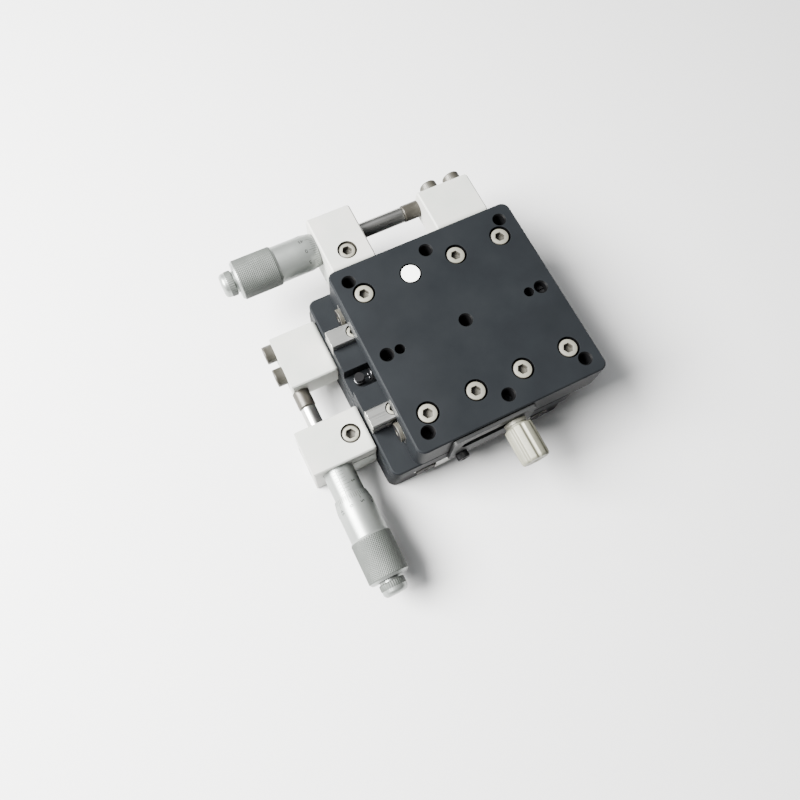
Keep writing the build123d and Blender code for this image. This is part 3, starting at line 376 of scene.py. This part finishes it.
# The stop screws' lighter rims are a painted glint.
screws("table_stop_screws", "table", in_rows((-30, 30), STOP_ROWS, TABLE_AT, 21.4),
       [LEFT, LEFT, RIGHT, RIGHT], STOP_SCREW, 3.98, HEX_M2, OXIDE_WITH_GLINT)
screws("base_stop_screws", "base", in_rows((-30, 30), STOP_ROWS, (0, 0), 8.6, False),
       [FRONT, FRONT, BACK, BACK], STOP_SCREW, 3.98, HEX_M2, OXIDE_WITH_GLINT)
dress(oxide_black, "table_preload_screws", "base_preload_screws", "x_spring_anchor", "y_spring_anchor",
      "x_spring_post", "y_spring_post")
dress(screw_nickel, "lock_screw", "lock_washer")


# The tapped M4 holes of the table and the base show their threads: a ridge of triangular
# section wound down each hole. The threads and the holes' walls are painted near black and the clamps'
# counterbore walls dark grey: a painted shade.
HOLE_PITCH = 25
THREAD_HALF = 0.32          # half of the ridge's height at its root
TABLE_MOUTH, BASE_MOUTH = 29.1, 0.9     # heights where the threads start, past the holes' chamfers
INSIDE, BORE = 28.5, 3.3    # how far the table's holes and a counterbore's wall reach out


def thread(mouth, along, length, root=1.72, crest=1.56, pitch=0.7, steps=30):
    """A closed ridge: its triangle's corners go round by the angle and down by pitch a turn."""
    turns = length / pitch
    angle = np.linspace(0, 2 * math.pi * turns, int(turns * steps) + 1)
    first, second = across(along)
    out = np.cos(angle)[:, None] * first + np.sin(angle)[:, None] * second
    down = angle[:, None] / (2 * math.pi) * pitch * -np.array(along, float)
    corners = [(root, -THREAD_HALF), (crest, 0.0), (root, THREAD_HALF)]
    rows = np.stack([radius * out + down + shift * np.array(along, float) for radius, shift in corners], 1)
    middle = rows.mean(1)
    rows = np.concatenate([np.repeat(middle[:1, None], 3, 1), rows, np.repeat(middle[-1:, None], 3, 1)])
    return surface(rows + np.array(mouth, float))


# Near black for the threads and the table's hole walls: painted shade down in the holes.
hole_shade_black = machined(
    "hole_shade_black", dark=(0.0014, 0.0014, 0.0016), light=(0.0026, 0.0026, 0.0028),
    edge=(0.006, 0.006, 0.006), metallic=0.0, roughness=(0.40, 0.55), grain=3000.0, depth=0.000005,
    radius=0.00003, specular=0.04)
THREE, TWO = (-HOLE_PITCH, 0, HOLE_PITCH), (-HOLE_PITCH, HOLE_PITCH)
front_hole = (TABLE_AT[0], TABLE_AT[1] - HOLE_PITCH, TABLE_MOUTH)      # the lock's screw is under it
right_hole = (TABLE_AT[0] + HOLE_PITCH, TABLE_AT[1], TABLE_MOUTH)      # the spring's anchor fills it
table_holes = [at for at in in_rows(THREE, THREE, TABLE_AT, TABLE_MOUTH)
               if at not in (front_hole, right_hole)]
table_threads = [thread(at, UP, 3.9) for at in table_holes] + [thread(front_hole, UP, 3.2)]
piece("table_m4_threads", table_threads, [hole_shade_black], "table", sharp=60)
base_threads = [thread(at, DOWN, 5.0) for at in in_rows(TWO, TWO, (0, 0), BASE_MOUTH)]
piece("base_m4_threads", base_threads, [hole_shade_black], "base", sharp=60)


def walls(name, inside, material):
    """Gives a CAD node's walls and chamfers in a region a darker material: a painted shade."""
    mesh = nodes[name].data
    mesh.materials.append(material)
    for face in mesh.polygons:
        if abs(face.normal.z) < 0.95 and inside(*(face.center / MM)):
            face.material_index = len(mesh.materials) - 1


def in_table(x, y, z):
    """Whether a point is in the table's holes: inside its side faces and above its underside."""
    return abs(x - TABLE_AT[0]) < INSIDE and abs(y - TABLE_AT[1]) < INSIDE and z > 22.5


def counterbore(seat):
    """Whether a point is in a clamp screw's counterbore: near its axis and above its seat."""
    return lambda x, y, z: math.hypot(x - seat[0], y - seat[1]) < BORE and z > seat[2] - 0.1


# Painted shade: the table's hole walls near black, the clamps' counterbore walls dark grey.
walls("table", in_table, hole_shade_black)
walls("x_bracket", counterbore(X_CLAMP), socket_grey)
walls("y_bracket", counterbore(Y_CLAMP), socket_grey)


# A round cap is pressed onto the second screw of the table's back row, flush with the
# counterbore round it. Its plain white is a painted highlight on that screw's head.
white_cap = machined(
    "white_cap", dark=(0.93, 0.94, 0.92), light=(0.96, 0.97, 0.95), edge=(0.97, 0.97, 0.96),
    metallic=0.0, roughness=(0.45, 0.55), grain=1500.0, depth=0.000005, radius=0.0001)
dress(white_cap, "screw_cap")


# The micrometer heads are steel with a satin chrome finish. The sleeve stays in its clamp; the
# thimble turns over it, with a bevelled mouth, a smooth band and a diamond-knurled grip.
AXES = {
    "x": dict(foot=(0.0, 41.8, 23.0), along=RIGHT, deck=7.0, fixed_body="middle"),
    "y": dict(foot=(-42.8, 0.0, 11.0), along=BACK, deck=-1.0, fixed_body="base"),
}
MOUTH, BEVEL_L = -28.0, 2.8             # the thimble's open end and its bevel, along the axis
MOUTH_R, BAND_R, GRIP_R = 4.98, 5.55, 6.03
KNURL_TEETH, KNURL_DEPTH = 50, 0.16
satin_chrome = machined(
    "satin_chrome", dark=(0.235, 0.250, 0.238), light=(0.270, 0.285, 0.272), edge=(0.36, 0.37, 0.36),
    metallic=0.7, roughness=(0.34, 0.38), grain=1100.0, depth=0.0000006, radius=0.00008)
knurled_chrome = machined(
    "knurled_chrome", dark=(0.045, 0.0505, 0.0455), light=(0.064, 0.070, 0.064), edge=(0.10, 0.108, 0.10),
    metallic=0.2, roughness=(0.48, 0.60), grain=3400.0, depth=0.000006, radius=0.00004)
dress(satin_chrome, "x_sleeve", "y_sleeve")


def thimble(deck):
    """Heights and radii of the thimble: the grip's diamonds are the product of two sines.

    The sines follow two helices of opposite hand, so their product makes rows of pyramids.
    """
    columns = KNURL_TEETH * 6
    angle = np.linspace(0, 2 * math.pi, columns, endpoint=False)
    grip = np.linspace(-41.3, -52.7, 91)
    turns = KNURL_TEETH / 2
    twist = turns / 6.0
    pyramids = np.abs(np.sin(turns * angle[None] + twist * grip[:, None])
                      * np.sin(turns * angle[None] - twist * grip[:, None]))
    flat = np.ones((1, columns))
    profile = [(-50.5, 4.7), (MOUTH, 4.7), (MOUTH, MOUTH_R), (MOUTH - BEVEL_L, BAND_R), (-35.0, BAND_R),
               (-40.5, BAND_R), (-41.0, 5.86)]
    tail = [(-52.9, 5.86), (-53.5, 5.4), (-53.5, 1.52), (-50.5, 1.52)]
    heights = np.concatenate([[p[0] for p in profile], grip, [p[0] for p in tail]]) + deck
    radii = np.vstack([np.array([p[1] for p in profile])[:, None] * flat,
                       GRIP_R - KNURL_DEPTH * (1 - pyramids),
                       np.array([p[1] for p in tail])[:, None] * flat])
    return heights, radii, len(profile), len(profile) + len(grip)


for axis, place in AXES.items():
    heights, radii, first_row, last_row = thimble(place["deck"])
    points, faces = surface(rings(place["foot"], place["along"], heights, radii), loop=True)
    columns = radii.shape[1]
    finish = np.zeros(len(faces), int)
    finish[(first_row - 1) * columns:last_row * columns] = 1
    piece(axis + "_thimble_turned", [(points, faces, finish)], [satin_chrome, knurled_chrome],
          axis + "_thimble", (axis + "_thimble",), sharp=28)


# The scales are engraved and filled with black: a line along each sleeve with ticks every half
# millimetre and figures every five, and fifty divisions round the bevel of each thimble.
SLEEVE_R = 4.6
ZERO = -21.0                # the thimble's mouth stands here when the reading is nought
LAST_TICK = 28              # half millimetres
HALF_TICK, WHOLE_TICK, FIVE_TICK = 1.3, 1.8, 2.6
DIVISIONS = 50
READ_FROM = {"x": math.radians(24), "y": math.radians(-14)}     # the line's place, round from the top


def on_round(place, height, radius, angle):
    """A point on a round piece: height along the axis, angle round from the top."""
    along = np.array(place["along"], float)
    side = np.cross(along, UP)
    out = np.cos(angle)[..., None] * np.array(UP, float) + np.sin(angle)[..., None] * side
    return np.array(place["foot"], float) + height[..., None] * along + radius[..., None] * out


def engraved(place, heights, radii, angles, columns=6):
    """A thin closed strip on a round surface between two heights and two angles."""
    turn = np.linspace(angles[0], angles[1], columns + 1)[:, None]
    low, high = 0.03, 0.012
    height = np.array([[heights[0], heights[0], heights[1], heights[1]]]) + 0 * turn
    radius = np.array([[radii[0] - low, radii[0] + high, radii[1] + high, radii[1] - low]]) + 0 * turn
    rows = on_round(place, height, radius, turn + 0 * height)
    ends = [np.repeat(rows[i].mean(0)[None], 4, 0)[None] for i in (0, -1)]
    return surface(np.concatenate([ends[0], rows, ends[1]]))


def figure(place, text, size, height, radius, angle):
    """Digits as a thin closed mesh, wrapped on the round: x runs down the axis, y round it."""
    curve = bpy.data.curves.new("digits", "FONT")
    curve.body, curve.size, curve.extrude = text, size, 0.02
    curve.align_x, curve.align_y = "LEFT", "CENTER"
    curve.resolution_u = 3
    holder = bpy.data.objects.new("digits", curve)
    bpy.context.scene.collection.objects.link(holder)
    bpy.context.view_layer.update()
    flat = bpy.data.meshes.new_from_object(holder)
    spots = np.zeros(len(flat.vertices) * 3)
    flat.vertices.foreach_get("co", spots)
    spots = spots.reshape(-1, 3)
    faces = [list(face.vertices) for face in flat.polygons]
    bpy.data.objects.remove(holder)
    bpy.data.curves.remove(curve)
    bpy.data.meshes.remove(flat)
    lift = radius + spots[:, 2] - 0.008
    return on_round(place, height - spots[:, 0], lift, angle + spots[:, 1] / radius), faces


scale_black = machined(
    "scale_black", dark=(0.002, 0.002, 0.0022), light=(0.004, 0.004, 0.0042), edge=(0.006, 0.006, 0.006),
    metallic=0.0, roughness=(0.50, 0.60), grain=3000.0, depth=0.000002, radius=0.00001, specular=0.1)
for axis, place in AXES.items():
    read = READ_FROM[axis]
    line = 0.05 / SLEEVE_R
    marks = [engraved(place, (ZERO - 14.0, ZERO - 0.1), (SLEEVE_R, SLEEVE_R), (read - line, read + line))]
    for half in range(LAST_TICK):
        height = ZERO - half / 2
        reach = HALF_TICK if half % 2 else FIVE_TICK if half % 10 == 0 else WHOLE_TICK
        span = (read - reach / SLEEVE_R, read) if half % 2 else (read, read + reach / SLEEVE_R)
        marks.append(engraved(place, (height - 0.04, height + 0.04), (SLEEVE_R, SLEEVE_R), span))
    for millimetre in (5, 10):
        turned = read + 3.5 / SLEEVE_R
        marks.append(figure(place, str(millimetre), 1.7, ZERO - millimetre + 0.6, SLEEVE_R, turned))
    piece(axis + "_sleeve_scale", marks, [scale_black], place["fixed_body"], sharp=60)

    mouth = place["deck"] + MOUTH
    slope = (BAND_R - MOUTH_R) / BEVEL_L
    half_line = 0.045 / 5.2     # half a line's width over the bevel's mean radius
    marks = []
    for division in range(DIVISIONS):
        turned = read + division * 2 * math.pi / DIVISIONS
        reach = 2.5 if division % 5 == 0 else 1.5
        ends = (mouth - 0.12, mouth - reach)
        radii = (MOUTH_R + 0.12 * slope, MOUTH_R + reach * slope)
        marks.append(engraved(place, ends, radii, (turned - half_line, turned + half_line), columns=1))
        if division % 5 == 0:
            marks.append(figure(place, str(division), 1.6, mouth - 3.1, BAND_R, turned))
    piece(axis + "_thimble_scale", marks, [scale_black], axis + "_thimble", sharp=60)


# The ratchet cap behind each thimble is turned steel with a short neck, a finely fluted rim and
# a domed end. It turns on a stud that stands out of the thimble.
def ratchet_cap(deck, columns=144):
    """Rings whose rim is fluted by a cosine of the angle; the bore over the stud stays round."""
    angle = np.linspace(0, 2 * math.pi, columns, endpoint=False)
    flat = np.ones(columns)
    flutes = 3.8 - 0.06 * (1 - np.cos(36 * angle))
    profile = [(-56.95, 0 * flat), (-56.95, 1.54 * flat), (-53.55, 1.54 * flat),
               (-53.55, 3.25 * flat), (-54.2, 3.25 * flat), (-54.2, 3.55 * flat), (-54.4, flutes),
               (-55.9, flutes), (-56.1, 3.68 * flat)]
    lean = np.linspace(0, math.pi / 2, 10)[1:]
    profile += [(-56.6 - 1.4 * math.sin(a), (2.28 + 1.4 * math.cos(a)) * flat) for a in lean]
    profile += [(-58.0, 1.1 * flat), (-57.85, 0.95 * flat), (-57.85, 0 * flat)]
    return np.array([p[0] for p in profile]) + deck, np.array([p[1] for p in profile])


for axis, place in AXES.items():
    heights, radii = ratchet_cap(place["deck"])
    points, faces = surface(rings(place["foot"], place["along"], heights, radii))
    columns = radii.shape[1]
    finish = np.zeros(len(faces), int)
    finish[3 * columns:7 * columns] = 1
    piece(axis + "_ratchet_turned", [(points, faces, finish)], [satin_chrome, knurled_chrome],
          axis + "_ratchet", (axis + "_ratchet",))


# The lock's knob is turned from bar and nickel plated dull, with eight flutes milled along it
# and a fine straight knurl on the lands between them. It is pressed onto the lock screw.
def lock_knob_rings(columns=384):
    """Rings about the lock's axis: a flute is a power of a cosine, the knurl a fast cosine."""
    angle = np.linspace(0, 2 * math.pi, columns, endpoint=False)
    flat = np.ones(columns)
    flute = 0.5 * np.clip(np.cos(8 * angle), 0, 1) ** 1.5
    land = np.clip(-np.cos(8 * angle) + 0.3, 0, 1)
    grip = 4.25 - flute - 0.035 * land * (1 - np.cos(96 * angle))
    smooth = 4.22 - flute
    profile = [(6.95, 0 * flat), (6.95, 2.03 * flat), (0.0, 2.03 * flat), (0.0, 3.0 * flat),
               (0.7, 3.0 * flat), (0.7, smooth - 0.25), (0.95, smooth), (1.2, grip), (10.6, grip),
               (10.8, smooth), (11.1, smooth - 0.12), (11.4, smooth - 0.42), (11.4, 1.2 * flat),
               (11.25, 1.0 * flat), (11.25, 0 * flat)]
    return np.array([p[0] for p in profile]), np.array([p[1] for p in profile])


knob_nickel = machined(
    "knob_nickel", dark=(0.145, 0.143, 0.108), light=(0.190, 0.187, 0.145), edge=(0.25, 0.246, 0.20),
    metallic=0.25, roughness=(0.46, 0.58), grain=3000.0, depth=0.00001, radius=0.00008)
heights, radii = lock_knob_rings()
knob_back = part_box("lock_knob")[1][1] / MM
knob_skin = surface(rings((7.0, knob_back, 23.0), FRONT, heights, radii))
piece("lock_knob_turned", [knob_skin], [knob_nickel], "lock_knob", ("lock_knob",), sharp=40)


# The contact pins that the spindles push on are hardened steel, tempered to a brownish grey, and
# pressed into the anvil blocks.
pin_steel = machined(
    "pin_steel", dark=(0.030, 0.0275, 0.022), light=(0.052, 0.048, 0.040), edge=(0.09, 0.085, 0.072),
    metallic=0.5, roughness=(0.32, 0.46), grain=3000.0, depth=0.000008, radius=0.0001)
dress(pin_steel, "x_contact_pin", "y_contact_pin")


# The return springs are close coils of dark drawn steel wire, with a hook round a post at each
# end. They stretch between the middle slide and the deck above or below it.
def wire_path(low, high, turns=56, coil=1.65, hook=1.35, neck=1.4, steps=22):
    """The wire's middle line: a hook, a helix and a hook, as distance along, across and up.

    The helix's angle grows evenly along it, and its first and last half turns close in on the
    axis by a smooth step, where the hooks' necks start.
    """
    around = np.linspace(0, 2 * math.pi, 28)
    hook_low = np.stack([low + hook * np.cos(around[::-1]), hook * np.sin(around[::-1]), 0 * around], 1)
    hook_high = np.stack([high - hook * np.cos(around), hook * np.sin(around), 0 * around], 1)
    start, end = low + hook + neck, high - hook - neck
    share = np.linspace(0, 1, turns * steps + 1)
    angle = share * turns * 2 * math.pi
    close = np.minimum(1, np.minimum(share, 1 - share) * turns / 0.5)
    radius = coil * close * close * (3 - 2 * close)
    helix = np.stack([start + share * (end - start), radius * np.sin(angle), radius * np.cos(angle)], 1)
    return np.vstack([hook_low, helix, hook_high])


def wire(path, radius=0.25, columns=8):
    """A round wire along a path: rings square to the path's direction, kept from twisting."""
    ahead = np.gradient(path, axis=0)
    ahead /= np.linalg.norm(ahead, axis=1)[:, None]
    side = np.cross(ahead, (0, 0, 1.0))
    weak = np.linalg.norm(side, axis=1) < 1e-3
    side[weak] = np.cross(ahead[weak], (0, 1.0, 0))
    side /= np.linalg.norm(side, axis=1)[:, None]
    up = np.cross(ahead, side)
    angle = np.linspace(0, 2 * math.pi, columns, endpoint=False)
    ring = np.cos(angle)[None, :, None] * side[:, None] + np.sin(angle)[None, :, None] * up[:, None]
    rows = path[:, None] + radius * ring
    start = np.repeat(path[:1], columns, 0)[None]
    end = np.repeat(path[-1:], columns, 0)[None]
    return surface(np.concatenate([start, rows, end]))


spring_wire = machined(
    "spring_wire", dark=(0.030, 0.030, 0.032), light=(0.055, 0.055, 0.057), edge=(0.09, 0.09, 0.09),
    metallic=0.9, roughness=(0.24, 0.36), grain=3000.0, depth=0.000005, radius=0.00004)


def spring(node, low, high, to_frame):
    """A spring in place of its CAD node, stretching from one body to the next."""
    points, faces = wire(wire_path(low, high))
    made = piece(node + "_wound", [(to_frame(points), faces)], [spring_wire], None, (node,))
    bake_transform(made)


spring("x_return_spring", -26.6, 32.0, lambda p: p + (0, -1, 20.5))
spring("y_return_spring", -25.0, 25.6, lambda p: np.stack([-p[:, 1], p[:, 0], p[:, 2] + 9.5], 1))


# The stage around it: a pale matt floor, a soft window light from the left and behind, and
# surroundings that are bright on that side and dark on the others.
FLOOR_REACH = 3.0
BRIGHT_SIDE = (-0.58, 0.36, 0.73)       # where the surroundings are brightest
FADE_FROM, FADE_TO = 0.58, 0.95         # cosines from that direction where they start and stop rising
DIM, BRIGHT = 0.08, 2.4
KEY_PLACE, KEY_SIZE, KEY_POWER = (-0.35, 0.11, 0.36), 0.30, 25.0

floor_mesh = bpy.data.meshes.new("floor")
corners = [(FLOOR_REACH * x, FLOOR_REACH * y, 0) for x, y in ((-1, -1), (1, -1), (1, 1), (-1, 1))]
floor_mesh.from_pydata(corners, [], [(0, 1, 2, 3)])
floor = bpy.data.objects.new("floor", floor_mesh)
bpy.context.scene.collection.objects.link(floor)
floor_finish, floor_tree, add_floor = finish_nodes("floor_white")
floor_shader = add_floor("ShaderNodeBsdfPrincipled", Roughness=0.9)
floor_shader.inputs["Base Color"].default_value = (0.62, 0.62, 0.62, 1)
floor_shader.inputs["Specular IOR Level"].default_value = 0.1
floor_tree.links.new(floor_shader.outputs[0], add_floor("ShaderNodeOutputMaterial").inputs[0])
floor_mesh.materials.append(floor_finish)

world = bpy.data.worlds.new("tent")
world.use_nodes = True
sky = world.node_tree
backdrop = sky.nodes["Background"]
backdrop.inputs["Color"].default_value = (0.97, 0.985, 1.0, 1)
sky_place = sky.nodes.new("ShaderNodeTexCoord")
facing = sky.nodes.new("ShaderNodeVectorMath")
facing.operation = "DOT_PRODUCT"
facing.inputs[1].default_value = BRIGHT_SIDE
fade = sky.nodes.new("ShaderNodeMapRange")
fade.inputs["From Min"].default_value = FADE_FROM
fade.inputs["From Max"].default_value = FADE_TO
fade.inputs["To Min"].default_value = DIM
fade.inputs["To Max"].default_value = BRIGHT
sky.links.new(sky_place.outputs["Generated"], facing.inputs[0])
sky.links.new(facing.outputs["Value"], fade.inputs["Value"])
sky.links.new(fade.outputs["Result"], backdrop.inputs["Strength"])
bpy.context.scene.world = world

lamp = bpy.data.lights.new("key", "AREA")
lamp.size = KEY_SIZE
lamp.energy = KEY_POWER
lamp.color = (1.0, 0.995, 0.98)
key = bpy.data.objects.new("key", lamp)
key.location = KEY_PLACE
key.rotation_euler = Vector(KEY_PLACE).to_track_quat("Z", "Y").to_euler()
bpy.context.scene.collection.objects.link(key)

# The camera looks steeply down from the front left, past the corner where the two drives meet,
# and is rolled a little about its line of sight.
CAMERA_PLACE, LOOKS_AT, ROLL = (-0.05654, -0.06610, 0.20988), (-0.01815, -0.01076, 0.017), 8.628
camera_data = bpy.data.cameras.new("camera")
camera_data.sensor_width = 36.0
camera_data.lens = 31.5
camera_data.clip_start = 0.005
camera = bpy.data.objects.new("camera", camera_data)
sight = (Vector(CAMERA_PLACE) - Vector(LOOKS_AT)).to_track_quat("Z", "Y").to_matrix().to_4x4()
camera.matrix_world = (Matrix.Translation(CAMERA_PLACE) @ sight
                       @ Matrix.Rotation(math.radians(ROLL), 4, "Z"))
bpy.context.scene.collection.objects.link(camera)
bpy.context.scene.camera = camera
